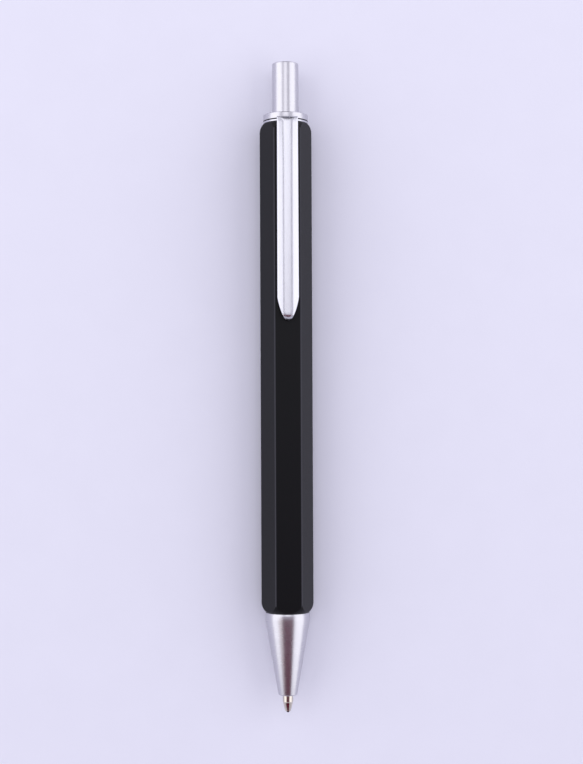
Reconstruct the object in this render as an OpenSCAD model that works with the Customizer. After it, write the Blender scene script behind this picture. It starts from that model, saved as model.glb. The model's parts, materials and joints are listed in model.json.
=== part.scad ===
// Pushbutton ballpoint pen with a hexagonal barrel, lying on one flat with its clip up.
// Every piece is drawn about the pen's own axis: z runs from the writing ball to the button
// and y points to the clip. lay() then turns it to lie along +Y with the clip towards +Z.
// The refill sets most sizes: the mechanism stands behind it, and the barrel holds both.

/* [Barrel] */
// Wall of the barrel at the middle of a flat
barrel_wall = 0.95; // [0.7:0.05:1.6]
// Rounding of the six long edges
edge_r = 0.25; // [0.1:0.05:0.6]
// Radius of the turned crown at both ends of the barrel
crown_r = 2.9; // [2:0.1:5]
// How far the crown takes the corners in at the end faces
crown_drop = 0.8; // [0.75:0.01:1.2]

/* [Nose cone] */
// Length of the nose cone in front of its trim ring
nose_l = 17.4; // [15:0.1:20]
// Diameter of the nose cone's mouth
nose_mouth_d = 4; // [3.8:0.1:5]
// Length of the plain band behind the cone
nose_band_l = 1.2; // [0.6:0.1:2]
// Rounding of the nose cone's mouth
nose_edge_r = 0.25; // [0.1:0.05:0.4]
// Length of the threaded spigot inside the barrel
nose_spigot_l = 6.7; // [5:0.1:9]
// Wall left around the spring pocket
nose_wall = 0.55; // [0.4:0.05:0.7]
// Thickness of the trim ring between nose cone and barrel
trim_t = 0.2; // [0.15:0.05:0.6]
// How far the trim ring lies below the flats
trim_inset = 0.2; // [0.15:0.05:0.5]

/* [Refill] */
// Length of the refill, from the ball to its rear end
refill_l = 98.1; // [88:0.1:110]
// Diameter of the refill
refill_d = 5.9; // [5.6:0.1:6.4]
// Wall of the refill tube
refill_wall = 0.2; // [0.15:0.05:0.3]
// Distance from the ball to the front of the refill tube
tube_start = 17.2; // [16.5:0.1:18.5]
// How far the writing point stands out of the nose cone
point_out = 3.7; // [3:0.1:4.2]
// Diameter of the writing point's shank
point_d = 2.2; // [2:0.1:2.5]
// Length of the writing point in front of its holder
point_l = 9.5; // [8.5:0.1:10.5]
// Length of the tapered end of the writing point
taper_l = 2.3; // [1.6:0.1:3]
// Step between the taper and the shank
taper_step = 0.1; // [0.05:0.05:0.2]
// Diameter of the writing point's tail inside its holder
tail_d = 1.5; // [1.2:0.1:1.7]
// Length of the writing point's tail
tail_l = 2.5; // [2:0.1:4]
// Ink channel of the writing point
channel_d = 0.5; // [0.4:0.1:0.6]
// Diameter of the writing ball
ball_d = 0.7; // [0.6:0.1:1]
// Diameter of the point holder inside the refill spring
holder_d = 2.8; // [2.6:0.1:3]
// Ink channel of the point holder
holder_bore_d = 1.8; // [1.6:0.1:2]
// Chamfer at the front of the point holder
holder_edge = 0.2; // [0.1:0.05:0.3]
// Thickness of the holder's shoulder, which the refill spring bears on
shoulder_t = 0.3; // [0.2:0.05:0.6]
// Length of the spigots that hold point holder and plug in the tube
spigot_l = 3; // [2:0.1:4]
// Length of the grease follower behind the ink
follower_l = 6; // [3:0.5:8]
// Length of the air space behind the follower
air_l = 9.3; // [3:0.1:50]
// Length of the plug at the rear of the refill
plug_l = 3.6; // [2.5:0.1:5]
// Air hole of the plug
vent_d = 1; // [0.6:0.1:1.4]
// Width of the notches across the plug's end
notch_w = 1; // [0.6:0.1:1.4]
// Depth of the notches across the plug's end
notch_depth = 1.2; // [0.6:0.1:1.6]

/* [Push button] */
// Diameter of the push button
button_d = 5.6; // [5.2:0.1:5.8]
// How far the push button stands out of the collar
button_out = 11; // [9:0.1:13]
// Wall of the drawn metal button cap
button_wall = 0.45; // [0.3:0.05:0.55]
// Rounding of the button's end
button_edge_r = 0.3; // [0.15:0.05:0.5]
// Free travel of the button before it meets the cam slider
button_travel = 5; // [4:0.1:5.5]
// Thickness of the plunger's retaining flange
plunger_flange_t = 1.2; // [0.8:0.1:2]
// Length of the plunger between its flange and the cap
plunger_neck_l = 2.8; // [2:0.1:4]

/* [Click mechanism] */
// How far the refill draws back when it is retracted
retract = 5; // [4.6:0.1:5.4]
// How far the refill can be pushed past its writing position
overtravel = 1.2; // [0.8:0.1:1.4]
// Diameter of the latch wire
wire_d = 0.4; // [0.3:0.05:0.5]
// Length of the latch wire between its pin and its anchor
wire_l = 8.5; // [7:0.1:9]
// Wall of the mechanism sleeve
sleeve_wall = 0.35; // [0.3:0.05:0.6]
// Thickness of the sleeve's front lip
lip_t = 0.7; // [0.5:0.1:1]
// Depth of the slider's cup around the refill's end
cup_depth = 2.5; // [1.5:0.1:3]
// Solid length of the slider between its cup and its track
track_floor = 2.15; // [1.5:0.05:3]
// Solid length of the slider behind its track
track_head = 1.15; // [0.8:0.05:2]
// Depth of the heart-shaped track in the cam slider
track_depth = 0.65; // [0.5:0.05:0.8]
// Sideways reach of the heart-shaped track from its middle
track_reach = 0.8; // [0.7:0.05:0.95]
// Diameter of the slider's stem inside the button spring
stem_d = 2.6; // [2.2:0.1:2.7]
// Length of the slider's stem
stem_l = 8; // [6:0.1:10]

/* [Springs] */
// Wire of the refill spring
refill_wire = 0.4; // [0.3:0.05:0.45]
// Turns of the refill spring
refill_turns = 9; // [7:1:10]
// Wire of the button spring
button_wire = 0.3; // [0.25:0.05:0.35]
// Turns of the button spring
button_turns = 14; // [10:1:18]
// Room between a spring and what it lies in or around
spring_room = 0.2; // [0.15:0.05:0.25]

/* [Clip and collar] */
// Reach of the clip along the barrel, from the barrel's rear end to its nose
clip_l = 42; // [36:0.5:48]
// Width of the clip where its point begins
clip_w = 4.5; // [4:0.1:5]
// Width of the clip at its root
clip_root_w = 4.4; // [3.8:0.1:5]
// Width of the clip's flat crown
clip_crown_w = 1.8; // [1.2:0.1:2.2]
// Thickness of the clip strip
clip_t = 0.5; // [0.4:0.05:0.6]
// Height of the crown above the clip's edges
clip_ridge = 0.55; // [0.3:0.05:0.8]
// Gap between the barrel and the clip's edges
clip_gap = 1.1; // [0.9:0.1:1.6]
// Length of the clip's tapered point
clip_point_l = 4.8; // [4:0.1:6]
// Width of the clip at the end of its point
clip_tip_w = 1.4; // [1:0.1:1.6]
// Radius of the clip's bend at its root
clip_bend_r = 0.75; // [0.6:0.05:0.9]
// Radius of the clip's nose
clip_nose_r = 1.25; // [1:0.05:1.5]
// Thickness of the ring that holds the clip
clip_ring_t = 0.4; // [0.3:0.05:0.7]
// Width of the ring that holds the clip
clip_ring_w = 0.45; // [0.4:0.05:0.6]
// Thickness of the collar's flange
collar_t = 1.3; // [0.7:0.05:1.5]
// Chamfer of the collar's upper edge
collar_edge = 0.12; // [0.05:0.01:0.3]
// Height of the shadow groove under the collar's flange
groove_t = 0.2; // [0.15:0.05:0.5]
// Depth of the shadow groove
groove_depth = 0.25; // [0.15:0.05:0.3]
// Length of the collar's threaded spigot in the barrel
collar_thread_l = 2.8; // [2:0.05:6]
// Length of the collar's seat in the mechanism sleeve
collar_seat_l = 2; // [1.5:0.1:3]

/* [Fits] */
// Radial clearance of pieces that slide in each other
slide_gap = 0.05; // [0.03:0.01:0.08]
// Radial clearance of pieces that are pressed or glued together
seat_gap = 0.01; // [0.005:0.005:0.02]
// Clearance of the writing ball in its socket
ball_gap = 0.01; // [0.01:0.005:0.02]
// Clearance between the flats' plane and the round pieces at both ends
floor_gap = 0.05; // [0.03:0.01:0.1]
// Gap between the clip's foot and the barrel
foot_gap = 0.1; // [0.05:0.05:0.3]
// Gap between the latch wire and the slider's flat
wire_gap = 0.25; // [0.15:0.05:0.3]
// Room left at the end of a travel
stop_gap = 0.2; // [0.1:0.05:0.4]
// Room left in front of the refill's shoulder at the end of its overtravel
nose_room = 1; // [0.5:0.1:1.5]
// Room left in front of the slider's stem when the button is pressed
stem_room = 3; // [2:0.1:5]

/* [Hidden] */
$fn = 64;
// Overlap that joins two forms of one piece, and overrun of a cut past a face
EPS = 0.01;
OVER = 1;

// Radii from the refill outwards: latch wire, sleeve, barrel bore, flats
refill_r = refill_d / 2;
wire_r = wire_d / 2;
wire_at = refill_r + slide_gap + wire_r;
sleeve_in = wire_at + wire_r + slide_gap;
sleeve_out = sleeve_in + sleeve_wall;
bore_r = sleeve_out + slide_gap;
flat_r = bore_r + barrel_wall;
corner_at = (flat_r - edge_r) / cos(30);
corner_r = corner_at + edge_r;
end_r = flat_r - floor_gap;

// Refill, as stations from the writing ball
tube_in = refill_r - refill_wall;
tube_back = refill_l - plug_l;
ink_front = tube_start + spigot_l;
ink_back = tube_back - spigot_l - air_l - follower_l;
spring_shoulder = tube_start - shoulder_t;
ball_r = ball_d / 2;
point_r = point_d / 2;
tail_r = tail_d / 2;
tail_back = point_l + tail_l;
holder_r = holder_d / 2;
holder_bore_r = holder_bore_d / 2;

// Cam slider, with the pin of the latch wire in the notch of its track
slider_r = sleeve_in - slide_gap;
slider_flat = wire_at - wire_r - wire_gap;
slider_front = refill_l - cup_depth;
track_w = wire_d + 2 * slide_gap;
track_rest = refill_l + track_floor + track_w / 2 + retract;
wire_anchor = track_rest - wire_l;
shoulder = track_rest + overtravel + track_w / 2 + track_head;
stem_r = stem_d / 2;

// Push button: its plunger starts one free travel behind the slider's shoulder
button_r = button_d / 2;
plunger_front = shoulder + button_travel + slide_gap;
plunger_neck = plunger_front + plunger_flange_t;
cap_front = plunger_neck + plunger_neck_l;
button_spring_r = stem_r + spring_room + button_wire / 2;
spring_top = shoulder + stem_l + button_travel + stem_room;

// Mechanism sleeve, collar and barrel
sleeve_front = slider_front - overtravel - stop_gap - lip_t;
spigot_front = plunger_neck + retract + stop_gap;
sleeve_back = spigot_front + collar_seat_l;
barrel_back = sleeve_back + collar_thread_l;
ring_back = barrel_back + clip_ring_t;
ring_in = end_r - clip_ring_w;
flange_front = ring_back + groove_t;
collar_back = flange_front + collar_t;
total_l = collar_back + button_out;

// Nose cone and refill spring
nose_front = point_out;
nose_back = nose_front + nose_l;
barrel_front = nose_back + trim_t;
barrel_l = barrel_back - barrel_front;
refill_spring_r = holder_r + spring_room + refill_wire / 2;
pocket_r = refill_spring_r + refill_wire / 2 + spring_room;
nose_slope = (end_r - nose_mouth_d / 2) / (nose_l - nose_band_l);
spring_seat = nose_front + (pocket_r + nose_wall - nose_mouth_d / 2) / nose_slope;
nose_step = spring_shoulder - overtravel - nose_room;

// Clip, as heights above the axis and stations along it
clip_under = flat_r + clip_gap;
clip_top = clip_under + clip_t + clip_ridge;
hinge_y = clip_top - clip_bend_r;
hinge_z = ring_back - clip_bend_r;
clip_end = barrel_back - clip_l;
clip_foot_z = clip_end + clip_nose_r;

module lay() {
    translate([0, -total_l / 2, flat_r]) rotate([90, 0, 180]) children();
}

// A turned piece: points are [radius, station] pairs
module turned(points) {
    rotate_extrude() polygon(points);
}

module rod(r, from, to) {
    translate([0, 0, from]) cylinder(r = r, h = to - from);
}

// A rod that points down from the axis, at one station
module down_rod(r, station, from, to) {
    translate([0, 0, station]) rotate([90, 0, 0]) rod(r, from, to);
}

// A bar of round section across the pen, centred on the middle plane
module cross_bar(r, y, z, w) {
    translate([-w / 2, y, z]) rotate([0, 90, 0]) cylinder(r = r, h = w);
}

// Hexagon with one flat towards +y and rounded corners
module hexagon() {
    polygon([
        for (corner = [0:60:300]) for (turn = [corner - 30, corner + 30])
            corner_at * [cos(corner), sin(corner)] + edge_r * [cos(turn), sin(turn)]
    ]);
    for (corner = [0:60:300]) rotate(corner) translate([corner_at, 0]) circle(r = edge_r);
}

// Profile of the turned crowns that take the barrel's corners in at both ends
module crowned(from, to) {
    rise = sqrt(crown_r * crown_r - pow(crown_r - crown_drop, 2));
    middle = corner_r - crown_r;
    translate([0, from + rise]) square([corner_r + EPS, to - from - 2 * rise]);
    for (end = [from, to - rise]) translate([0, end]) square([middle, rise]);
    intersection() {
        union() {
            translate([middle, from + rise]) circle(r = crown_r);
            translate([middle, to - rise]) circle(r = crown_r);
        }
        translate([0, from]) square([corner_r + crown_r, to - from]);
    }
}

// A compression spring: one unbroken wire along a helix
module coil(mean_r, wire, turns, from, to) {
    sides = 6;
    steps = 8;
    rings = turns * steps;
    rise = to - from - wire;
    echo(gap_between_turns = rise / turns - wire);
    points = [
        for (ring = [0:rings]) for (side = [0:sides - 1])
            let (
                turn = 360 * ring / steps,
                out = mean_r + wire / 2 * cos(360 * side / sides),
                up = from + wire / 2 + rise * ring / rings + wire / 2 * sin(360 * side / sides)
            )
            [out * cos(turn), out * sin(turn), up]
    ];
    walls = [
        for (ring = [0:rings - 1]) for (side = [0:sides - 1])
            let (
                a = ring * sides + side,
                b = ring * sides + (side + 1) % sides
            )
            each [[a, b, b + sides], [a, b + sides, a + sides]]
    ];
    first = [for (side = [1:sides - 2]) [0, side + 1, side]];
    end = rings * sides;
    last = [for (side = [1:sides - 2]) [end, end + side, end + side + 1]];
    polyhedron(points = points, faces = concat(walls, first, last), convexity = 10);
}

function mirrored(points) = [for (i = [len(points) - 1:-1:0]) [-points[i][0], points[i][1]]];

// The heart-shaped track of the latch wire's pin, with x across and y along the slider.
// The pin waits at the bottom when the refill is drawn back, goes up one side, drops into
// the notch of the island, which holds the refill out, and comes back down the other side.
module heart_track(rest) {
    half_w = track_w / 2;
    low = rest - retract;
    high = rest + overtravel;
    outer = [
        [half_w, low - half_w], [track_reach + half_w, low + 1.75 * track_reach],
        [track_reach + half_w, high - 0.75 * track_reach], [track_reach, high + half_w]
    ];
    island = [
        [track_reach - half_w, low + 3.25 * track_reach], [track_reach - half_w, rest + half_w / 2]
    ];
    difference() {
        polygon(concat(outer, [[0, (rest + high) / 2 + half_w]], mirrored(outer)));
        polygon(concat(
            [[0, low + 2 * track_reach]], island, [[0, rest - 1.5 * half_w]], mirrored(island)
        ));
    }
}

// The clip's outline from above, with x across and y along the pen. Its point curves in.
function clip_half(t) = clip_tip_w / 2 + (clip_w - clip_tip_w) / 2 * t * (1.55 - 0.55 * t);
module clip_outline() {
    steps = 8;
    right = [for (i = [0:steps]) [clip_half(i / steps), clip_end + clip_point_l * i / steps]];
    polygon(concat(
        right,
        [[clip_root_w / 2, ring_back], [-clip_root_w / 2, ring_back]],
        mirrored(right)
    ));
}

// The clip's roof: flat crown and two sloping flanks, down to a given underside
module clip_roof(under_edge, under_crown) {
    polygon([
        [-clip_w / 2, under_edge], [-clip_crown_w / 2, under_crown],
        [clip_crown_w / 2, under_crown], [clip_w / 2, under_edge],
        [clip_w / 2, clip_under + clip_t], [clip_crown_w / 2, clip_top],
        [-clip_crown_w / 2, clip_top], [-clip_w / 2, clip_under + clip_t]
    ]);
}

module barrel() {
    color("#1c1c20") lay() difference() {
        intersection() {
            translate([0, 0, barrel_front]) linear_extrude(barrel_l) hexagon();
            rotate_extrude() crowned(barrel_front, barrel_back);
        }
        rod(bore_r, barrel_front - OVER, barrel_back + OVER);
    }
}

module nose_cone() {
    mouth_r = nose_mouth_d / 2;
    spigot_r = bore_r - slide_gap;
    spigot_back = nose_back + nose_spigot_l;
    rounding = [
        for (turn = [0:15:75])
            [mouth_r - nose_edge_r * (1 - sin(turn)), nose_front + nose_edge_r * (1 - cos(turn))]
    ];
    color("#c9c9cf") lay() difference() {
        turned(concat(
            [[0, nose_front]],
            rounding,
            [
                [mouth_r + nose_slope * nose_edge_r, nose_front + nose_edge_r],
                [end_r, nose_back - nose_band_l], [end_r, nose_back],
                [spigot_r, nose_back], [spigot_r, spigot_back], [0, spigot_back]
            ]
        ));
        rod(point_r + 2 * slide_gap, nose_front - OVER, spigot_back);
        rod(pocket_r, spring_seat, spigot_back);
        rod(refill_r + 3 * slide_gap, nose_step, spigot_back + OVER);
    }
}

module nose_trim_ring() {
    color("#26262a") lay() difference() {
        rod(flat_r - trim_inset, nose_back, barrel_front);
        rod(bore_r, nose_back - OVER, barrel_front + OVER);
    }
}

module collar() {
    seat_r = sleeve_in - seat_gap;
    thread_r = bore_r - slide_gap;
    neck_r = ring_in - slide_gap;
    color("#cfcfd4") lay() difference() {
        turned([
            [0, spigot_front], [seat_r, spigot_front], [seat_r, sleeve_back],
            [thread_r, sleeve_back], [thread_r, barrel_back],
            [neck_r, barrel_back], [neck_r, ring_back],
            [end_r - groove_depth, ring_back], [end_r - groove_depth, flange_front],
            [end_r, flange_front], [end_r, collar_back - collar_edge],
            [end_r - collar_edge, collar_back], [0, collar_back]
        ]);
        rod(button_r + slide_gap, spigot_front - OVER, collar_back + OVER);
    }
}

module clip_ring() {
    color("#d4d4d8") lay() difference() {
        union() {
            rod(end_r, barrel_back, ring_back);
            translate([-clip_root_w / 2, 0, barrel_back]) cube([clip_root_w, hinge_y, clip_ring_t]);
        }
        rod(ring_in, barrel_back - OVER, ring_back + OVER);
        cross_bar(clip_bend_r + slide_gap, hinge_y, hinge_z, clip_root_w + OVER);
    }
}

module clip_arm() {
    foot = flat_r + foot_gap;
    color("#d4d4d8") lay() {
        cross_bar(clip_bend_r, hinge_y, hinge_z, clip_root_w);
        intersection() {
            union() {
                translate([0, 0, clip_foot_z]) linear_extrude(hinge_z - clip_foot_z)
                    clip_roof(clip_under, clip_under + clip_ridge);
                intersection() {
                    cross_bar(clip_nose_r, clip_top - clip_nose_r, clip_foot_z, clip_w);
                    translate([0, 0, clip_end]) linear_extrude(2 * clip_nose_r) clip_roof(foot, foot);
                }
            }
            translate([0, clip_top + OVER, 0]) rotate([90, 0, 0]) linear_extrude(clip_top) clip_outline();
        }
    }
}

module push_button() {
    rounding = [
        for (turn = [0:15:90])
            [button_r - button_edge_r * (1 - cos(turn)), total_l - button_edge_r * (1 - sin(turn))]
    ];
    color("#cfcfd4") lay() difference() {
        turned(concat([[0, cap_front], [button_r, cap_front]], rounding, [[0, total_l]]));
        rod(button_r - button_wall, cap_front - OVER, total_l - 2 * button_wall);
    }
}

module button_plunger() {
    core_r = button_r - button_wall - seat_gap;
    core_back = total_l - 2 * button_wall;
    color("#e6e6e2") lay() difference() {
        turned([
            [0, plunger_front], [slider_r, plunger_front], [slider_r, plunger_neck],
            [button_r, plunger_neck], [button_r, cap_front],
            [core_r, cap_front], [core_r, core_back], [0, core_back]
        ]);
        rod(button_spring_r + button_wire / 2 + spring_room, plunger_front - OVER, spring_top);
    }
}

module button_spring() {
    color("#b9bcc0") lay() coil(button_spring_r, button_wire, button_turns, shoulder, spring_top);
}

module mechanism_sleeve() {
    color("#c8a85a") lay() difference() {
        rod(sleeve_out, sleeve_front, sleeve_back);
        rod(refill_r + 2 * slide_gap, sleeve_front - OVER, sleeve_back);
        rod(sleeve_in, sleeve_front + lip_t, sleeve_back + OVER);
        down_rod(wire_r + slide_gap, wire_anchor, wire_at, sleeve_out + OVER);
    }
}

module cam_slider() {
    flat_l = shoulder - slider_front;
    color("#e6e6e2") lay() difference() {
        union() {
            rod(slider_r, slider_front, shoulder);
            rod(stem_r, shoulder - EPS, shoulder + stem_l);
        }
        rod(refill_r + slide_gap, slider_front - OVER, refill_l);
        translate([-slider_r - OVER, -slider_flat - slider_r, slider_front - OVER])
            cube([2 * (slider_r + OVER), slider_r, flat_l + 2 * OVER]);
        translate([0, track_depth - slider_flat, 0]) rotate([90, 0, 0])
            linear_extrude(slider_r) heart_track(track_rest);
    }
}

module latch_wire() {
    pin_end = slider_flat - track_depth + 2 * slide_gap;
    color("#b9bcc0") lay() {
        translate([0, -wire_at, 0]) rod(wire_r, wire_anchor, track_rest);
        for (elbow = [wire_anchor, track_rest]) translate([0, -wire_at, elbow]) sphere(r = wire_r);
        down_rod(wire_r, track_rest, pin_end, wire_at);
        down_rod(wire_r, wire_anchor, wire_at, sleeve_out);
    }
}

module refill_tube() {
    color("#c3b48c") lay() difference() {
        rod(refill_r, tube_start, tube_back);
        rod(tube_in, tube_start - OVER, tube_back + OVER);
    }
}

module refill_plug() {
    color("#22242a") lay() difference() {
        union() {
            rod(refill_r, tube_back, refill_l);
            rod(tube_in - seat_gap, tube_back - spigot_l, tube_back + EPS);
        }
        rod(vent_d / 2, tube_back - spigot_l - OVER, refill_l + OVER);
        for (turn = [0, 90]) rotate(turn)
            translate([-refill_r - OVER, -notch_w / 2, refill_l - notch_depth])
                cube([2 * (refill_r + OVER), notch_w, notch_depth + OVER]);
    }
}

module ink_column() {
    color("#101018") lay() {
        rod(tube_in - seat_gap, ink_front, ink_back);
        rod(holder_bore_r - seat_gap, tail_back, ink_front + EPS);
    }
}

module ink_follower() {
    color("#e0d8b0") lay() rod(tube_in - seat_gap, ink_back, ink_back + follower_l);
}

module point_holder() {
    spigot_r = tube_in - seat_gap;
    color("#b9bcc0") lay() difference() {
        turned([
            [0, point_l], [holder_r - holder_edge, point_l], [holder_r, point_l + holder_edge],
            [holder_r, spring_shoulder], [refill_r, spring_shoulder], [refill_r, tube_start],
            [spigot_r, tube_start], [spigot_r, ink_front], [0, ink_front]
        ]);
        rod(tail_r + seat_gap, point_l - OVER, tail_back);
        rod(holder_bore_r, tail_back, ink_front + OVER);
    }
}

module writing_point() {
    lip = 0.28 * ball_d;
    color("#c4c2bc") lay() difference() {
        turned([
            [0, lip], [1.09 * ball_r, lip], [1.5 * ball_r, lip + 0.43 * ball_d],
            [point_r - taper_step, taper_l], [point_r, taper_l + taper_step],
            [point_r, point_l], [tail_r, point_l], [tail_r, tail_back], [0, tail_back]
        ]);
        translate([0, 0, ball_r]) sphere(r = ball_r + ball_gap);
        rod(channel_d / 2, ball_r, tail_back + OVER);
    }
}

module writing_ball() {
    color("#5a5a60") lay() translate([0, 0, ball_r]) sphere(r = ball_r);
}

module refill_spring() {
    color("#b9bcc0") lay()
        coil(refill_spring_r, refill_wire, refill_turns, spring_seat, spring_shoulder);
}

barrel();
nose_cone();
nose_trim_ring();
collar();
clip_ring();
clip_arm();
push_button();
button_plunger();
button_spring();
mechanism_sleeve();
cam_slider();
latch_wire();
refill_tube();
refill_plug();
ink_column();
ink_follower();
point_holder();
writing_point();
writing_ball();
refill_spring();
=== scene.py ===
# %% [markdown]
# # A pushbutton ballpoint pen
# The pen lies on a sheet of pale paper with its clip up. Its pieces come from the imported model:
# each is already at its real size and in its real place, so nothing here is fitted or moved.
# This lesson builds the studio, gives every piece its finish, and remakes those that need a finer
# shape than a simple solid has: the threaded nose cone, the writing point, the grooved collar, the
# bent clip, the two springs and the slider.

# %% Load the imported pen
import json
import math

import bmesh
import bpy
from mathutils import Matrix, Vector


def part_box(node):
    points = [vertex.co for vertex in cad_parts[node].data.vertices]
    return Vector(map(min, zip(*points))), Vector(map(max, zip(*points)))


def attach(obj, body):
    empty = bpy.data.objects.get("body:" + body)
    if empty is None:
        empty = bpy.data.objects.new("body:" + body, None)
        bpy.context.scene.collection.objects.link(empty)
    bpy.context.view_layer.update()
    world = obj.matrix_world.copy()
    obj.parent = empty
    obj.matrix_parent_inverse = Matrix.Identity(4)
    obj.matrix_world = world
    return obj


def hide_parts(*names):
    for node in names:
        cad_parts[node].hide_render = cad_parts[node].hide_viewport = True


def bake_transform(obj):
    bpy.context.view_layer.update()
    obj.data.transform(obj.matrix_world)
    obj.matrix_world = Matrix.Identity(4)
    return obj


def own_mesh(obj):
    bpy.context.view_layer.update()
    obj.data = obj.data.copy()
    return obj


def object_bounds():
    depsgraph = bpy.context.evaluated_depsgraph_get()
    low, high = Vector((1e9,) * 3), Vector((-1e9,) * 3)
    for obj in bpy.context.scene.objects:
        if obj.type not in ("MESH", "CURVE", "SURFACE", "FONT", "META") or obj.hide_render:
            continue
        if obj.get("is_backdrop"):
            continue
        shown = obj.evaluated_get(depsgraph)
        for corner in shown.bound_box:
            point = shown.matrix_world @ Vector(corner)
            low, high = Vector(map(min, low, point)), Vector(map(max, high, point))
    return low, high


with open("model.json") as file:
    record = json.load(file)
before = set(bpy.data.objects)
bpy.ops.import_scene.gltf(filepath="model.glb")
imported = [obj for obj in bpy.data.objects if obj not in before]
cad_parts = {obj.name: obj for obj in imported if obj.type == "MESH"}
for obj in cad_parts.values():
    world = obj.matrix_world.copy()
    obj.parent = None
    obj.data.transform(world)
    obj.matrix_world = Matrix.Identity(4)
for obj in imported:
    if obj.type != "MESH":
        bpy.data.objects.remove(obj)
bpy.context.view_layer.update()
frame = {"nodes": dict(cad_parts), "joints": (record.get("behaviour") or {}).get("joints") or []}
nodes = frame["nodes"]
MM = 0.001


def size_mm(node):
    """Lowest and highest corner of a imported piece, in millimetres."""
    low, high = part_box(node)
    return low / MM, high / MM


barrel_low, barrel_high = size_mm("barrel")
AXIS_Z = (barrel_low.z + barrel_high.z) / 2

# %% [markdown]
# ## The camera
# The photograph looks almost straight down from about 32 cm. The focal length is written in
# pixels of the picture, because that is what can be measured on it, and a sensor height turns
# it into the lens that Blender wants. Depth of field stays off, as everything is sharp.

# %% Camera
IMAGE_H = 764
FOCAL_PX = 1499
SENSOR_MM = 36
CAMERA_AT_MM = (-20.33, -4.95, 321.4)
CAMERA_TURN = (0.0191, -0.0673, -0.0044)

camera_data = bpy.data.cameras.new("photo_camera")
camera_data.sensor_fit = "VERTICAL"
camera_data.sensor_height = SENSOR_MM
camera_data.lens = FOCAL_PX * SENSOR_MM / IMAGE_H
camera = bpy.data.objects.new("photo_camera", camera_data)
camera.location = Vector(CAMERA_AT_MM) * MM
camera.rotation_euler = CAMERA_TURN
bpy.context.scene.collection.objects.link(camera)
bpy.context.scene.camera = camera
bpy.context.scene.view_settings.view_transform = "Standard"
print("lens:", round(camera_data.lens, 1), "mm")

# %% [markdown]
# ## Colours and shader nodes
# Colours are written as sRGB hex values. Light adds up in linear
# values, so one function converts them. A second one adds a shader node, sets its fields and
# sockets and links its inputs: every finish below is a handful of its calls.
# Patterns use object coordinates, which are metres here, so a pattern's scale follows from a real
# size: a feature of 0.2 mm needs a scale of one over 0.0002.

# %% Colours, scales and nodes
def linear(hex_colour):
    """An sRGB hex colour as linear red, green, blue and an alpha of 1.

    The numbers are those of the sRGB curve, which is straight near black and a power above.
    """
    shares = [int(hex_colour[i:i + 2], 16) / 255 for i in (1, 3, 5)]
    low = [share / 12.92 for share in shares]
    high = [((share + 0.055) / 1.055) ** 2.4 for share in shares]
    return [a if share <= 0.04045 else b for share, a, b in zip(shares, low, high)] + [1]


def per_mm(across, along):
    """The scale of a pattern whose features have this size round the pen and along it, in mm."""
    return (1 / (across * MM), 1 / (along * MM), 1 / (across * MM))


def add(tree, kind, values=(), links=(), out=0, **fields):
    """Adds a shader node with its fields, socket values and links, and returns an output of it."""
    made = tree.nodes.new(kind)
    for field, value in fields.items():
        setattr(made, field, value)
    for socket, value in dict(values).items():
        made.inputs[socket].default_value = value
    for socket, source in dict(links).items():
        tree.links.new(source, made.inputs[socket])
    return made.outputs[out]


print("the middle grey #808080 is", round(linear("#808080")[0], 3), "in linear light")

# %% [markdown]
# No real surface is quite even. Its colour drifts a little over millimetres, and the way it was
# made leaves a finer pattern in its gloss. So one function builds every finish from two noise
# patterns, and a finish is told by their sizes, two colours and a range of roughness.

# %% A finish from two patterns
# A Mix node has its inputs for colours, and their result, at these places
MIX_FACTOR, MIX_A, MIX_B, MIX_RESULT = 0, 6, 7, 2
# Noise stays near its middle, so these are the values that it really reaches
NOISE_LOW, NOISE_HIGH = 0.3, 0.7


def finish(name, colours, tone, polish, sheen, grit_mm=0.0, **sockets):
    """A material from two patterns: one drifts the colour, one gives roughness and relief.

    colours are two hex values, and tone and polish the sizes of the two patterns in mm. sheen is
    the range of roughness, and grit_mm the height of the relief.
    """
    material = bpy.data.materials.new(name)
    material.use_nodes = True
    tree = material.node_tree
    shader = tree.nodes["Principled BSDF"]
    for socket, value in sockets.items():
        shader.inputs[socket.replace("_", " ")].default_value = value
    place = add(tree, "ShaderNodeTexCoord", out="Object")
    noise = []
    for across, along in (tone, polish):
        scaled = add(tree, "ShaderNodeMapping", {"Scale": per_mm(across, along)}, {"Vector": place})
        noise.append(add(tree, "ShaderNodeTexNoise", {"Scale": 1}, {"Vector": scaled}))
    ends = {MIX_A: linear(colours[0]), MIX_B: linear(colours[1])}
    colour = add(tree, "ShaderNodeMix", ends, {MIX_FACTOR: noise[0]}, MIX_RESULT, data_type="RGBA")
    tree.links.new(colour, shader.inputs["Base Color"])
    span = {"From Min": NOISE_LOW, "From Max": NOISE_HIGH, "To Min": sheen[0], "To Max": sheen[1]}
    rough = add(tree, "ShaderNodeMapRange", span, {"Value": noise[1]})
    tree.links.new(rough, shader.inputs["Roughness"])
    if grit_mm:
        bump = add(tree, "ShaderNodeBump", {"Distance": grit_mm * MM}, {"Height": noise[1]})
        tree.links.new(bump, shader.inputs["Normal"])
    return material


print("noise is read from", NOISE_LOW, "to", NOISE_HIGH)

# %% [markdown]
# ## The floor
# The pen lies on smooth pale paper with a lavender cast. A large sheet keeps its edge out of
# every view. Calendered paper has a faint cloudiness, hardly any gloss, and takes a soft shadow.

# %% Floor
# Half the sheet's width in metres, and the cells along a side
FLOOR_HALF = 3.0
FLOOR_CELLS = 8

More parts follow.
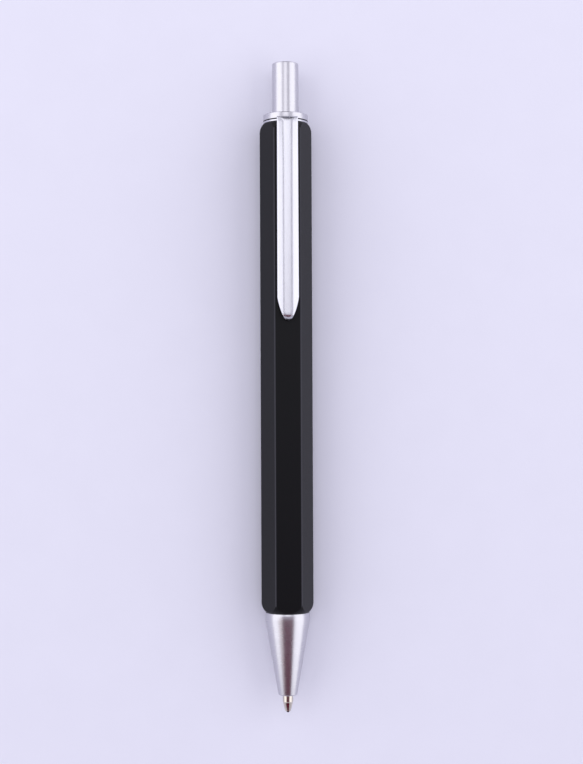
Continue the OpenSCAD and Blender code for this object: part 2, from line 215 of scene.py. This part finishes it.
# The tooth of such paper is about 0.1 mm; it is drawn at 0.5 mm so that it shows
paper = finish(
    "calendered_paper", ("#DEDDE9", "#E1E0EC"), (9, 9), (0.5, 0.5), (0.75, 0.85), 0.01,
    Specular_IOR_Level=0.2,
)
sheet = bmesh.new()
bmesh.ops.create_grid(sheet, x_segments=FLOOR_CELLS, y_segments=FLOOR_CELLS, size=FLOOR_HALF)
floor_mesh = bpy.data.meshes.new("floor")
sheet.to_mesh(floor_mesh)
sheet.free()
floor_mesh.materials.append(paper)
floor = bpy.data.objects.new("floor", floor_mesh)
bpy.context.scene.collection.objects.link(floor)
floor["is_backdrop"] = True
print("floor:", 2 * FLOOR_HALF, "m wide")

# %% [markdown]
# ## The light
# Metal shows its surroundings, so the lamps are placed by what the metal shows: a broad white
# softbox on each side, a panel overhead towards the button, and dim gaps between them. A lamp's
# brightness is written as the radiance that its face adds, which is what a reflection repeats,
# and the pale room adds its own. Together they light white paper to about white.

# %% Softboxes, panel and room
def softbox(name, lean, distance, width, length, radiance, towards_button=0.0, aside=0.0):
    """Adds an area lamp that faces the pen, leaning from the vertical, with sizes in metres."""
    data = bpy.data.lights.new(name, "AREA")
    data.shape = "RECTANGLE"
    data.size = width
    data.size_y = length
    data.energy = radiance * math.pi * width * length
    lamp = bpy.data.objects.new(name, data)
    leaning = Matrix.Rotation(math.radians(lean), 4, "Y")
    lamp.matrix_world = leaning @ Matrix.Translation((aside, towards_button, distance))
    bpy.context.scene.collection.objects.link(lamp)


BROAD = {"distance": 0.6, "width": 0.64, "length": 1.2}
softbox("right_softbox", lean=60, radiance=0.97, towards_button=0.24, **BROAD)
softbox("left_softbox", lean=-60, radiance=1.02, towards_button=0.28, **BROAD)
softbox(
    "overhead_panel", lean=0, distance=0.7, width=0.36, length=0.62, radiance=0.94,
    towards_button=0.35, aside=-0.04,
)

ROOM_COLOUR = "#DCDAEA"
ROOM_STRENGTH = 0.87
world = bpy.data.worlds.new("studio")
bpy.context.scene.world = world
world.use_nodes = True
room = world.node_tree.nodes["Background"]
room.inputs["Color"].default_value = linear(ROOM_COLOUR)
room.inputs["Strength"].default_value = ROOM_STRENGTH

# %% [markdown]
# Dark cards draw lines in metal. A wine red one towards the point makes the dark stripe down the
# nose cone and on the rolled end of the clip, and a black one behind the button makes the thin
# dark lines round the button's end and at the clip's root. They show in reflections only: the
# camera doesn't see them and they take no light from the paper.

# %% Dark cards
CARD_CELLS = 4


def card(name, colours, lean, distance, width, height, aside=0.0):
    """Adds a card that faces the pen, leaning towards the point, with sizes in metres."""
    shape = bmesh.new()
    stretch = Matrix.Diagonal((width / 2, height / 2, 1, 1))
    bmesh.ops.create_grid(
        shape, x_segments=CARD_CELLS, y_segments=CARD_CELLS, size=1, matrix=stretch
    )
    mesh = bpy.data.meshes.new(name)
    shape.to_mesh(mesh)
    shape.free()
    # Card fibres are about 0.2 mm wide; they are drawn at 2 mm, as only reflections show them
    mesh.materials.append(finish(name + "_board", colours, (40, 40), (2, 2), (0.85, 0.95)))
    piece = bpy.data.objects.new(name, mesh)
    leaning = Matrix.Rotation(math.radians(lean), 4, "X")
    piece.matrix_world = leaning @ Matrix.Translation((aside, 0, distance))
    piece.visible_camera = False
    piece.visible_diffuse = False
    piece.visible_shadow = False
    bpy.context.scene.collection.objects.link(piece)
    piece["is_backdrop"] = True


card(
    "wine_red_card", ("#640C2C", "#6E1434"), lean=33, distance=0.8, width=1.3, height=0.6,
    aside=-0.25,
)
card("black_card", ("#1A1A1D", "#202023"), lean=-62, distance=1.0, width=1.0, height=0.36)

# %% [markdown]
# ## Black lacquer on drawn aluminium
# The barrel is a hexagonal aluminium tube, sprayed with matte black lacquer. The eye gets a deep
# grey-black, a broad soft sheen on the side faces, and a very fine orange peel. The six long
# edges are painted a little lighter, as a painted highlight for the thin bright line along them, and
# they lie furthest from the pen's axis, so the distance from the axis finds them.

# %% Matte black lacquer
# The spray's grit is about 0.05 mm; it is drawn at 0.25 mm so that it shows
lacquer = finish(
    "matte_black_lacquer", ("#09090C", "#0B0B0E"), (6, 12), (0.25, 0.25), (0.3, 0.38), 0.002,
    Specular_IOR_Level=0.15, Sheen_Weight=0.08, Sheen_Roughness=0.4,
)
tree = lacquer.node_tree
shader = tree.nodes["Principled BSDF"]
# The painted highlight starts and is full this far inside the long edges, in mm
HIGHLIGHT_START, HIGHLIGHT_FULL = 0.07, 0.01
EDGE_HIGHLIGHT_COLOUR = "#3A3A40"
EDGE_HIGHLIGHT_MM = (barrel_high.x - HIGHLIGHT_START, barrel_high.x - HIGHLIGHT_FULL)
place = add(tree, "ShaderNodeTexCoord", out="Object")
from_axis = add(
    tree, "ShaderNodeVectorMath", {1: (1, 0, 1), 2: (0, 0, -AXIS_Z * MM)}, {0: place},
    operation="MULTIPLY_ADD",
)
out = add(tree, "ShaderNodeVectorMath", links={0: from_axis}, out="Value", operation="LENGTH")
highlight_mask = add(
    tree, "ShaderNodeMapRange",
    {"From Min": EDGE_HIGHLIGHT_MM[0] * MM, "From Max": EDGE_HIGHLIGHT_MM[1] * MM}, {"Value": out},
)
even = shader.inputs["Base Color"].links[0].from_socket
# The long edges get a lighter colour over the even black: a painted highlight
highlighted = add(
    tree, "ShaderNodeMix", {MIX_B: linear(EDGE_HIGHLIGHT_COLOUR)}, {MIX_FACTOR: highlight_mask, MIX_A: even},
    MIX_RESULT, data_type="RGBA",
)
tree.links.new(highlighted, shader.inputs["Base Color"])
print(lacquer.name, "is rubbed from", round(EDGE_HIGHLIGHT_MM[0], 2), "mm off the axis outwards")

# %% [markdown]
# ## Satin chrome on turned brass
# Nose cone, collar and button are turned from brass, bead blasted and chromed. The plating is
# bright, but the blasted ground blurs what it mirrors. Fine turning lines still run round them.

# %% Satin chrome
# Turning lines are about 0.03 mm apart; they are drawn at 0.12 mm so that they show
satin = finish(
    "satin_chrome_on_brass", ("#C9C8CD", "#CFCED3"), (3, 3), (4, 0.12), (0.27, 0.31), 0.0003,
    Metallic=1,
)
print("finish:", satin.name)

# %% [markdown]
# ## Chromed spring steel
# The clip is pressed from a spring steel strip, polished and chromed. What it mirrors stays
# almost sharp, and the strip's rolling grain stretches it a little along the clip.

# %% Chromed strip
# Rolling grain is about 0.02 mm wide; it is drawn at 0.15 mm so that it shows
strip_finish = finish(
    "chromed_spring_strip", ("#CECED4", "#D4D4DA"), (1, 6), (0.15, 3), (0.25, 0.28), 0.0002,
    Metallic=1,
)
print("finish:", strip_finish.name)

# %% [markdown]
# ## The small metals
# The point is turned from nickel silver, a warm white alloy, and left bright, so it shows its
# turning marks. The ball is ground tungsten carbide, dark and dull. The trim ring in front of the
# barrel sits in the shadowed gap before the cone, and its dull black is painted shade for that gap.

# %% Point, ball and trim ring
# Turning marks are about 0.02 mm apart; they are drawn at 0.08 mm on point and ring so that they
# show, and the far finer grinding of the ball is drawn at 0.06 mm
nickel = finish(
    "turned_nickel_silver", ("#CDC6BA", "#D6CFC4"), (0.6, 0.6), (2, 0.08), (0.1, 0.18), Metallic=1
)
carbide = finish(
    "ground_tungsten_carbide", ("#2A2A2C", "#343436"), (0.1, 0.1), (0.06, 0.06), (0.25, 0.35),
    Metallic=1,
)
# The trim ring's dull black is painted shade: it draws the shadowed gap between barrel and cone
trim = finish(
    "trim_ring_painted_shade", ("#0B0B0E", "#101014"), (0.5, 0.5), (2, 0.08), (0.35, 0.45)
)
print("finishes:", [made.name for made in (nickel, carbide, trim)])

# %% [markdown]
# ## The works inside
# They show only when the pen is opened, and still get what they are made of. Sleeve and refill
# are drawn tubes, brass and nickelled brass, with drawing lines along them. The slider and the
# button's core are moulded acetal, white and slightly waxy, and the plug is black polypropylene.
# Springs and latch are drawn music wire. The ink is a wet black paste, and clear grease follows it.

# %% Finishes of the works
# Drawing lines are about 0.02 mm wide; they are drawn at 0.12 mm on tubes and 0.05 mm on wire so
# that they show, and the moulds' grain of about 0.05 mm is drawn at 0.2 mm
brass = finish(
    "drawn_brass", ("#C39A4E", "#CFA85E"), (2, 9), (0.12, 4), (0.22, 0.34), 0.0008, Metallic=1
)
nickelled = finish(
    "nickelled_brass_tube", ("#BDB59F", "#C8C0AA"), (2, 9), (0.12, 4), (0.18, 0.28), 0.0006,
    Metallic=1,
)
wire = finish(
    "drawn_music_wire", ("#8F9194", "#A2A4A7"), (0.4, 0.4), (0.05, 0.05), (0.25, 0.4), Metallic=1
)
acetal = finish(
    "moulded_white_acetal", ("#DEDDD6", "#E6E5DF"), (2, 2), (0.2, 0.2), (0.35, 0.45), 0.002,
    Subsurface_Weight=0.1,
)
polypropylene = finish(
    "moulded_black_polypropylene", ("#17181B", "#1E1F22"), (2, 2), (0.2, 0.2), (0.4, 0.5), 0.003
)
paste = finish("wet_ink_paste", ("#07070C", "#0D0D16"), (1.5, 3), (0.6, 0.6), (0.05, 0.12), 0.01)
grease = finish(
    "clear_follower_grease", ("#C9BE92", "#D6CCA4"), (1, 1), (0.5, 0.5), (0.08, 0.16), 0.01,
    Subsurface_Weight=0.3,
)
works = (brass, nickelled, wire, acetal, polypropylene, paste, grease)
print("finishes:", [made.name for made in works])

# %% [markdown]
# ## Turned pieces
# A lathe makes a round piece from a profile, and so does this function: the profile is a closed
# line of radius and station pairs in millimetres, and it is swept round the pen's axis. Corners
# that the tool would ease get a short arc, because a dead sharp edge never catches the light.
# A thread is cut by a second function that says how deep the tool goes at a station and an angle.

# %% Arcs and smooth pieces
SHARP_ABOVE = math.radians(35)


def arc(radius_at, station_at, radius, start, stop, steps=6):
    """Points of an arc in a profile. Angles run from straight out, towards the button."""
    angles = [math.radians(start + (stop - start) * i / steps) for i in range(steps + 1)]
    return [(radius_at + radius * math.cos(a), station_at + radius * math.sin(a)) for a in angles]


def smooth_piece(name, shape):
    """An object from a bmesh, smooth apart from its sharp edges."""
    bmesh.ops.recalc_face_normals(shape, faces=shape.faces)
    mesh = bpy.data.meshes.new(name)
    shape.to_mesh(mesh)
    shape.free()
    mesh.shade_smooth()
    mesh.set_sharp_from_angle(angle=SHARP_ABOVE)
    piece = bpy.data.objects.new(name, mesh)
    bpy.context.scene.collection.objects.link(piece)
    return piece


print("edges are sharp above", round(math.degrees(SHARP_ABOVE)), "degrees")

# %% A lathe for meshes
TURN_STEPS = 96


def turned(name, profile, cut=None):
    """A piece swept round the pen's axis from a closed profile of radii and stations in mm."""
    shape = bmesh.new()
    rings = []
    for step in range(TURN_STEPS):
        turn = step / TURN_STEPS
        angle = 2 * math.pi * turn
        ring = []
        for radius, station in profile:
            out = radius - (cut(radius, station, turn) if cut else 0)
            spot = Vector((out * math.sin(angle), station, AXIS_Z + out * math.cos(angle)))
            ring.append(shape.verts.new(spot * MM))
        rings.append(ring)
    for ring, after in zip(rings, rings[1:] + rings[:1]):
        for i in range(len(profile)):
            shape.faces.new((ring[i - 1], ring[i], after[i], after[i - 1]))
    return smooth_piece(name, shape)


print("a turned piece has", TURN_STEPS, "steps of", 360 / TURN_STEPS, "degrees")

# %% [markdown]
# ## The nose cone
# The cone screws into the barrel, so unscrewing it shows a threaded spigot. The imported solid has
# a plain spigot and a sharp rear edge. This lathe mesh has the same sizes, taken from its box and
# from the boxes of what it holds, with a real 0.75 mm thread and an eased edge behind the band,
# which shows as a bright line next to the barrel.

# %% Sizes of the nose cone
MOUTH_R = 2.0
MOUTH_EASE = 0.25
BAND_L = 1.5
BAND_EASE = 0.9
BAND_EASE_TURN = 28
POINT_PLAY, REFILL_PLAY, SPRING_PLAY = 0.1, 0.15, 0.2
REFILL_SEAT_AHEAD = 2.5
PITCH = 0.75
THREAD_DEPTH = 0.3
THREAD_ROWS = 8
# Radii that differ by less than this count as the same
SAME_R = 0.01

cone_low, cone_high = size_mm("nose_cone")
cone_r = cone_high.x
band_end = size_mm("nose_trim_ring")[0].y
spigot_r = size_mm("mechanism_sleeve")[1].x
point_bore = size_mm("writing_point")[1].x + POINT_PLAY
spring_low, spring_high = size_mm("refill_spring")
spring_bore = spring_high.x + SPRING_PLAY
tube_low, tube_high = size_mm("refill_tube")
refill_bore = tube_high.x + REFILL_PLAY
refill_seat = tube_low.y - REFILL_SEAT_AHEAD
thread_start = band_end + PITCH
thread_end = cone_high.y - PITCH


def thread_cut(radius, station, turn):
    """Depth of the thread at a place on the spigot: a triangle that climbs as it turns."""
    if radius < spigot_r - SAME_R or not thread_start <= station <= thread_end:
        return 0
    run_in = min(1, (station - thread_start) / PITCH, (thread_end - station) / PITCH)
    phase = (station / PITCH - turn) % 1
    return THREAD_DEPTH * run_in * (1 - abs(2 * phase - 1))


print("thread:", round((thread_end - thread_start) / PITCH, 1), "turns,", round(2 * spigot_r, 2), "mm")

# %% Turn the nose cone
rows = round((cone_high.y - band_end) / PITCH * THREAD_ROWS)
row_l = (cone_high.y - band_end) / rows
ease_l = BAND_EASE * math.sin(math.radians(BAND_EASE_TURN))
cone_profile = arc(MOUTH_R - MOUTH_EASE, cone_low.y + MOUTH_EASE, MOUTH_EASE, -90, 0)
cone_profile += [(cone_r, band_end - BAND_L)]
cone_profile += arc(cone_r - BAND_EASE, band_end - ease_l, BAND_EASE, 0, BAND_EASE_TURN)
cone_profile += [(spigot_r, band_end + row_l * i) for i in range(rows + 1)]
cone_profile += [
    (refill_bore, cone_high.y), (refill_bore, refill_seat), (spring_bore, refill_seat),
    (spring_bore, spring_low.y), (point_bore, spring_low.y), (point_bore, cone_low.y),
]
nose = turned("nose_cone_turned", cone_profile, thread_cut)
nose.data.materials.append(satin)
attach(nose, "nose")
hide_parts("nose_cone")
print("nose cone:", len(nose.data.polygons), "faces")

# %% [markdown]
# ## The writing point
# The point is turned from nickel silver: a shank, a small step, and a taper with slightly bulging
# sides. It ends in a thin lip that is rolled over the ball, so that the ball can turn but can't
# fall out. Ink wets the lip, so the very end looks black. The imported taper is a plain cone, and a
# lathe profile with a bulge and a lip takes its place.

# %% Sizes of the writing point
TAPER_L = 2.25
TAPER_STEP = 0.06
TAPER_FRONT, TAPER_FRONT_R = 0.32, 0.56
TAPER_BULGE = 0.03
TAPER_STEPS = 10
LIP, LIP_R = 0.25, 0.38
SOCKET_PLAY = 0.01
TAIL_R, TAIL_L = 0.75, 2.5
CHANNEL_R = 0.25

point_high = size_mm("writing_point")[1]
ball_low, ball_high = size_mm("writing_ball")
tip_y = ball_low.y
socket_y = (ball_low.y + ball_high.y) / 2
socket_r = (ball_high.y - ball_low.y) / 2 + SOCKET_PLAY
shank_r = point_high.x
shank_end = point_high.y - TAIL_L
print("writing point:", round(2 * shank_r, 2), "mm thick, socket", round(2 * socket_r, 2), "mm wide")

# %% Turn the writing point
point_profile = [(LIP_R, tip_y + LIP)]
for i in range(TAPER_STEPS + 1):
    t = i / TAPER_STEPS
    # A parabola that is highest halfway
    bulge = TAPER_BULGE * 4 * t * (1 - t)
    wide = TAPER_FRONT_R + (shank_r - TAPER_STEP - TAPER_FRONT_R) * t + bulge
    point_profile.append((wide, tip_y + TAPER_FRONT + (TAPER_L - TAPER_FRONT) * t))
point_profile += [
    (shank_r, tip_y + TAPER_L + TAPER_STEP), (shank_r, shank_end), (TAIL_R, shank_end),
    (TAIL_R, point_high.y), (CHANNEL_R, point_high.y),
]
deep = math.degrees(math.acos(CHANNEL_R / socket_r))
rim = -math.degrees(math.asin((socket_y - tip_y - LIP) / socket_r))
point_profile += arc(0, socket_y, socket_r, deep, rim)
point = turned("writing_point_turned", point_profile)
point.data.materials.append(nickel)
point.data.materials.append(paste)
for face in point.data.polygons:
    face.material_index = 1 if face.center.y / MM < tip_y + TAPER_FRONT else 0
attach(point, "refill")
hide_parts("writing_point")
print("writing point:", len(point.data.polygons), "faces")

# %% [markdown]
# ## The collar
# The collar guides the button and clamps the clip's ring. Under its flange runs a narrow groove,
# which lies in shade. A groove that is only a dark line in the material would show no depth from the
# side, so it is cut into the profile, and its faces get the barrel's black lacquer as painted shade.

# %% Sizes of the collar
FLANGE_EASE, FLANGE_STEPS = 0.22, 4
GROOVE_EASE, GROOVE_STEPS = 0.05, 3
GROOVE_T = 0.2
GROOVE_DEPTH = 0.5
RING_W = 0.45
PLAY = 0.05
SLEEVE_WALL = 0.35

collar_low, collar_high = size_mm("collar")
ring_low, ring_high = size_mm("clip_ring")
collar_r = collar_high.x
flange_y = ring_high.y + GROOVE_T
groove_r = collar_r - GROOVE_DEPTH
neck_r = collar_r - RING_W - PLAY
seat_r = spigot_r - SLEEVE_WALL
seat_y = size_mm("mechanism_sleeve")[1].y
button_bore = size_mm("push_button")[1].x + PLAY
# The painted shade ends a quarter of the way up the groove's eased edge
shade_end = flange_y + GROOVE_EASE / 4
print("collar:", round(2 * collar_r, 2), "mm across, groove", GROOVE_T, "mm wide")

# %% Turn the collar
collar_profile = [(groove_r, ring_high.y), (groove_r, flange_y)]
for radius, station, ease, start, steps in (
    (collar_r - GROOVE_EASE, flange_y + GROOVE_EASE, GROOVE_EASE, -90, GROOVE_STEPS),
    (collar_r - FLANGE_EASE, collar_high.y - FLANGE_EASE, FLANGE_EASE, 0, FLANGE_STEPS),
    (button_bore + GROOVE_EASE, collar_high.y - GROOVE_EASE, GROOVE_EASE, 90, GROOVE_STEPS),
):
    collar_profile += arc(radius, station, ease, start, start + 90, steps)
collar_profile += [
    (button_bore, collar_low.y), (seat_r, collar_low.y), (seat_r, seat_y), (spigot_r, seat_y),
    (spigot_r, ring_low.y), (neck_r, ring_low.y), (neck_r, ring_high.y),
]
collar = turned("collar_turned", collar_profile)
collar.data.materials.append(satin)
collar.data.materials.append(lacquer)
# Faces in the groove get the black lacquer as painted shade
for face in collar.data.polygons:
    in_groove = ring_high.y - PLAY < face.center.y / MM < shade_end
    face.material_index = 1 if in_groove else 0
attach(collar, "barrel")
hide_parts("collar")
print("collar:", len(collar.data.polygons), "faces")

# %% [markdown]
# ## The clip
# The real clip is one strip: a ring under the collar, a tab that bends over the barrel's end, an
# arm with a raised crown and two sloping flanks, and a tapered end that is rolled down to a foot.
# The imported model has it as a ring and an arm on a hinge. Here it is one mesh: sections across the
# strip are placed along its path and skinned, a ring is turned, and the two are united.

# %% Sizes of the strip
STRIP_T = 0.48
RIDGE = 0.55
CROWN_HALF = 0.9
CROWN_ROOT_HALF = 2.0
CROWN_BOW = 0.06
ROOT_HALF = 2.2
TIP_HALF = 0.7
POINT_L = 4.8
POINT_BULGE = 0.55
CREASE, CREASE_STEPS = 0.28, 3
FLANK_STEPS = 3
EDGE_EASE = 0.09
TAB_PLAY = 0.015

arm_low, arm_high = size_mm("clip_arm")
FLANK_HALF = arm_high.x
edge_z = arm_high.z - RIDGE
tab_y = flange_y - TAB_PLAY


def half_width(y):
    """Half the strip's width at a station: nearly parallel, then a point with convex sides."""
    t = max(0, (y - arm_low.y) / POINT_L)
    if t < 1:
        return TIP_HALF + (FLANK_HALF - TIP_HALF) * t * (1 + POINT_BULGE - POINT_BULGE * t)
    along = (y - arm_low.y - POINT_L) / (tab_y - arm_low.y - POINT_L)
    return FLANK_HALF + (ROOT_HALF - FLANK_HALF) * along


print("strip:", round(tab_y - arm_low.y, 1), "mm long,", round(2 * FLANK_HALF, 2), "mm wide")

# %% A section across the strip
def roof(x, crown, rise):
    """Height of the upper face over the edges: a slightly bowed crown, a rounded crease, a flank."""
    past = abs(x) - crown
    bow = CROWN_BOW * min(1, abs(x) / crown) ** 2
    drop = max(0, past)
    if abs(past) < CREASE:
        drop = (past + CREASE) ** 2 / (4 * CREASE)
    return rise * (1 - bow - drop * (1 - CROWN_BOW) / (FLANK_HALF - crown))


def strip_section(half, crown, rise):
    """A closed line round the strip: x across, and height over the line of its edges."""
    crown = min(crown, half - CREASE - 2 * EDGE_EASE)
    last = half - EDGE_EASE
    past = crown + CREASE
    right = [0, (crown - CREASE) / 2]
    right += [crown + CREASE * k / CREASE_STEPS for k in range(-CREASE_STEPS, CREASE_STEPS + 1)]
    right += [past + (last - past) * k / FLANK_STEPS for k in range(1, FLANK_STEPS + 1)]
    over = [(x, roof(x, crown, rise)) for x in right]
    base = roof(half, crown, rise)
    cut = EDGE_EASE * (1 - math.sqrt(0.5))
    edge = [
        (half - cut, base - cut), (half, base - EDGE_EASE),
        (half, base - STRIP_T + EDGE_EASE), (half - cut, base - STRIP_T + cut),
    ]
    side = over + edge + [(x, z - STRIP_T) for x, z in reversed(over)]
    return side + [(-x, z) for x, z in reversed(side[1:-1])]


print("points round a section:", len(strip_section(FLANK_HALF, CROWN_HALF, RIDGE)))

# %% [markdown]
# The strip's path starts at the ring, bends through a right angle, runs along the barrel and rolls
# down at its end. The crown grows out of the bend, steeply at first and then ever more gently, while
# its width goes from almost the whole strip to its parallel part. That leaves the dark, smiling
# curve at the root: a slope that faces the black card.

# %% The crown along the strip
RISE_START, RISE_L = 0.3, 0.7
FLARE_L = 0.95


def crown_at(run):
    """Half width and height of the crown at a distance along the path from the bend's start."""
    flare = max(0, 1 - max(0, run - RISE_START) / FLARE_L) ** 2
    height = RIDGE * (1 - math.exp(-max(0, run - RISE_START) / RISE_L))
    return CROWN_HALF + (CROWN_ROOT_HALF - CROWN_HALF) * flare, height


crown_grown = crown_at(RISE_START + FLARE_L)
print("crown where its flare ends:", round(2 * crown_grown[0], 2), "mm wide,",
      round(crown_grown[1], 2), "mm high")

# %% The strip's path, from the ring to the rolled end
BEND_R, BEND_STEPS = 0.36, 12
TAB_FOOT_Z = 1.4
FLARE_STEPS, ARM_STEPS, POINT_STEPS = 14, 8, 8
NOSE_R, NOSE_STEPS = 1.25, 14
NOSE_TURN = 126


def spread(start, stop, steps):
    """Evenly spaced values after start, the last of which is stop."""
    return [start + (stop - start) * i / steps for i in range(1, steps + 1)]


def strip_path():
    """Each section's place: station, height, tilt, and then half width, crown and rise."""
    path = [(tab_y, arm_high.z - TAB_FOOT_Z - RIDGE, -90, ROOT_HALF, CROWN_ROOT_HALF, 0)]
    for tilt in [-90] + spread(-90, 0, BEND_STEPS):
        a = math.radians(tilt)
        y = tab_y - BEND_R * (1 + math.sin(a))
        z = edge_z - BEND_R * (1 - math.cos(a))
        path.append((y, z, tilt, half_width(y)) + crown_at(BEND_R * math.radians(tilt + 90)))
    bend_end = tab_y - BEND_R
    point_start = arm_low.y + POINT_L
    roll_start = arm_low.y + NOSE_R
    flare_end = bend_end - FLARE_L
    stops = spread(bend_end, flare_end, FLARE_STEPS)
    stops += spread(flare_end, point_start, ARM_STEPS)
    stops += spread(point_start, roll_start, POINT_STEPS)
    for y in stops:
        run = BEND_R * math.pi / 2 + bend_end - y
        path.append((y, edge_z, 0, half_width(y)) + crown_at(run))
    edge_r = NOSE_R - RIDGE
    for tilt in spread(0, NOSE_TURN, NOSE_STEPS):
        a = math.radians(tilt)
        half = half_width(roll_start - NOSE_R * math.sin(min(a, math.pi / 2)))
        y = roll_start - edge_r * math.sin(a)
        z = edge_z - edge_r * (1 - math.cos(a))
        path.append((y, z, tilt, half, CROWN_HALF, RIDGE))
    return path


print("sections along the strip:", len(strip_path()))

# %% Skin the strip
def skin(shape, loops):
    """Faces between loops of points, from each to the next, and one on both ends."""
    for loop, after in zip(loops, loops[1:]):
        for i in range(len(loop)):
            shape.faces.new((loop[i - 1], loop[i], after[i], after[i - 1]))
    shape.faces.new(loops[0])
    shape.faces.new(loops[-1])


def strip_piece():
    """The strip as one closed skin over its sections."""
    shape = bmesh.new()
    loops = []
    for y, z, tilt, half, crown, rise in strip_path():
        a = math.radians(tilt)
        loop = []
        for x, out in strip_section(half, crown, rise):
            spot = Vector((x, y - out * math.sin(a), z + out * math.cos(a)))
            loop.append(shape.verts.new(spot * MM))
        loops.append(loop)
    skin(shape, loops)
    return smooth_piece("clip_strip", shape)


clip = strip_piece()
print("strip:", len(clip.data.polygons), "faces")

# %% [markdown]
# The ring is a turned piece with eased corners. A Boolean unites it with the strip, and the exact
# solver keeps the seam clean.

# %% A Boolean that leaves one finish
def combine(piece, tool, operation, material):
    """Applies a Boolean with a second object, which is then removed, and gives one finish."""
    modifier = piece.modifiers.new("combine", "BOOLEAN")
    modifier.operation = operation
    modifier.solver = "EXACT"
    modifier.object = tool
    bpy.context.view_layer.update()
    seen = piece.evaluated_get(bpy.context.evaluated_depsgraph_get())
    mesh = bpy.data.meshes.new_from_object(seen)
    piece.modifiers.clear()
    piece.data = mesh
    bpy.data.objects.remove(tool)
    mesh.materials.clear()
    mesh.materials.append(material)
    mesh.shade_smooth()
    mesh.set_sharp_from_angle(angle=SHARP_ABOVE)


print("strip before the union:", len(clip.data.vertices), "points")

# %% Unite strip and ring
RING_EASE, RING_STEPS = 0.08, 3

ring_in = collar_r - RING_W
ring_profile = []
for radius, station, start in (
    (collar_r - RING_EASE, ring_high.y - RING_EASE, 0),
    (ring_in + RING_EASE, ring_high.y - RING_EASE, 90),
    (ring_in + RING_EASE, ring_low.y + RING_EASE, 180),
    (collar_r - RING_EASE, ring_low.y + RING_EASE, 270),
):
    ring_profile += arc(radius, station, RING_EASE, start, start + 90, RING_STEPS)
ring = turned("clip_ring_turned", ring_profile)
combine(clip, ring, "UNION", strip_finish)
clip.name = "clip"
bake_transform(clip)
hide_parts("clip_ring", "clip_arm")
print("clip:", len(clip.data.polygons), "faces")

# %% [markdown]
# ## The springs
# Both springs are wound from round music wire, and their end turns are closed so that they sit
# flat. The imported coils are eight-sided, so rounder ones are wound here to the same sizes.
# The refill's spring rests in the nose and stays where it is. The button's spring stands on the
# slider and is attached to the refill's body.

# %% A winder for springs
COIL_STEPS = 24
WIRE_SIDES = 10


def wound(name, node, wire_d, turns):
    """A spring in a packed one's place, with its front and rear end on the pen's axis."""
    low, high = size_mm(node)
    mean_r = (high.x - low.x - wire_d) / 2
    # Two closed end turns and the wire's own thickness take up three wires of the length
    pitch = (high.y - low.y - 3 * wire_d) / (turns - 2)
    shape = bmesh.new()
    loops = []
    for step in range(turns * COIL_STEPS + 1):
        turn = step / COIL_STEPS
        closed = min(turn, 1) + max(0, turn - turns + 1)
        station = low.y + wire_d * (0.5 + closed) + pitch * (turn - closed)
        angle = 2 * math.pi * turn
        loop = []
        for out, along in arc(mean_r, station, wire_d / 2, 0, 360, WIRE_SIDES)[:-1]:
            spot = Vector((out * math.sin(angle), along, AXIS_Z + out * math.cos(angle)))
            loop.append(shape.verts.new(spot * MM))
        loops.append(loop)
    skin(shape, loops)
    piece = smooth_piece(name, shape)
    piece.data.materials.append(wire)
    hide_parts(node)
    return piece, Vector((0, low.y, AXIS_Z)) * MM, Vector((0, high.y, AXIS_Z)) * MM


print("a turn has", COIL_STEPS, "steps, and the wire", WIRE_SIDES, "sides")

# %% Wind the springs
REFILL_WIRE, REFILL_TURNS = 0.4, 9
BUTTON_WIRE, BUTTON_TURNS = 0.3, 14

joints = {joint["name"]: joint for joint in frame["joints"]}
refill_coil, front, rear = wound("refill_spring_wound", "refill_spring", REFILL_WIRE, REFILL_TURNS)
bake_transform(refill_coil)
button_coil, front, rear = wound("button_spring_wound", "button_spring", BUTTON_WIRE, BUTTON_TURNS)
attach(button_coil, "refill")
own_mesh(button_coil)

# %% [markdown]
# ## The slider's track
# The pin of the latch wire runs in a heart-shaped track in the slider. A full push drives the
# slider a little past the place where the pin holds it, so the track needs a pocket there. It is
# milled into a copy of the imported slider: a Boolean takes away a slot as wide as pin and play.

# %% Mill the pocket
PIN_PLAY = 0.1
MILL_STEPS = 16

wire_low, wire_high = size_mm("latch_wire")
pin_y = wire_high.y - wire_high.x
mill_r = wire_high.x + PIN_PLAY
push = -joints["refill_slide"]["range_m"][0] / MM
pin_in, pin_out = sorted((wire_low.z, wire_high.z), key=lambda z: abs(z - AXIS_Z))
floor_z = pin_in - math.copysign(PIN_PLAY, pin_out - pin_in)
outline = arc(0, pin_y, mill_r, 180, 360, MILL_STEPS)
outline += arc(0, pin_y + push, mill_r, 0, 180, MILL_STEPS)
cutter = bmesh.new()
slot_loops = []
for z in (floor_z, pin_out):
    slot_loops.append([cutter.verts.new(Vector((x, y, z)) * MM) for x, y in outline])
skin(cutter, slot_loops)
slider = bpy.data.objects.new("cam_slider_milled", nodes["cam_slider"].data.copy())
bpy.context.scene.collection.objects.link(slider)
combine(slider, smooth_piece("pocket_cutter", cutter), "DIFFERENCE", acetal)
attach(slider, "refill")
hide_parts("cam_slider")
print("slider:", len(slider.data.polygons), "faces, pocket", round(push + 2 * mill_r, 2), "mm long")

# %% [markdown]
# ## The other pieces
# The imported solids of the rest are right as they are, so they only get their finishes.

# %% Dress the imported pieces
dress = {
    lacquer: ["barrel"],
    satin: ["push_button"],
    trim: ["nose_trim_ring"],
    carbide: ["writing_ball"],
    brass: ["mechanism_sleeve"],
    nickelled: ["refill_tube", "point_holder"],
    wire: ["latch_wire"],
    acetal: ["button_plunger"],
    polypropylene: ["refill_plug"],
    paste: ["ink_column"],
    grease: ["ink_follower"],
}
for material, names in dress.items():
    for name in names:
        nodes[name].data.materials.clear()
        nodes[name].data.materials.append(material)
print("dressed:", sum(len(names) for names in dress.values()), "packed pieces")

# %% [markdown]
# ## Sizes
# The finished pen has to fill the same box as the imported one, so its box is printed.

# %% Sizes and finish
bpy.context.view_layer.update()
visual_low, visual_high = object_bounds()
print("visual box in mm:", [round(side, 2) for side in (visual_high - visual_low) / MM])
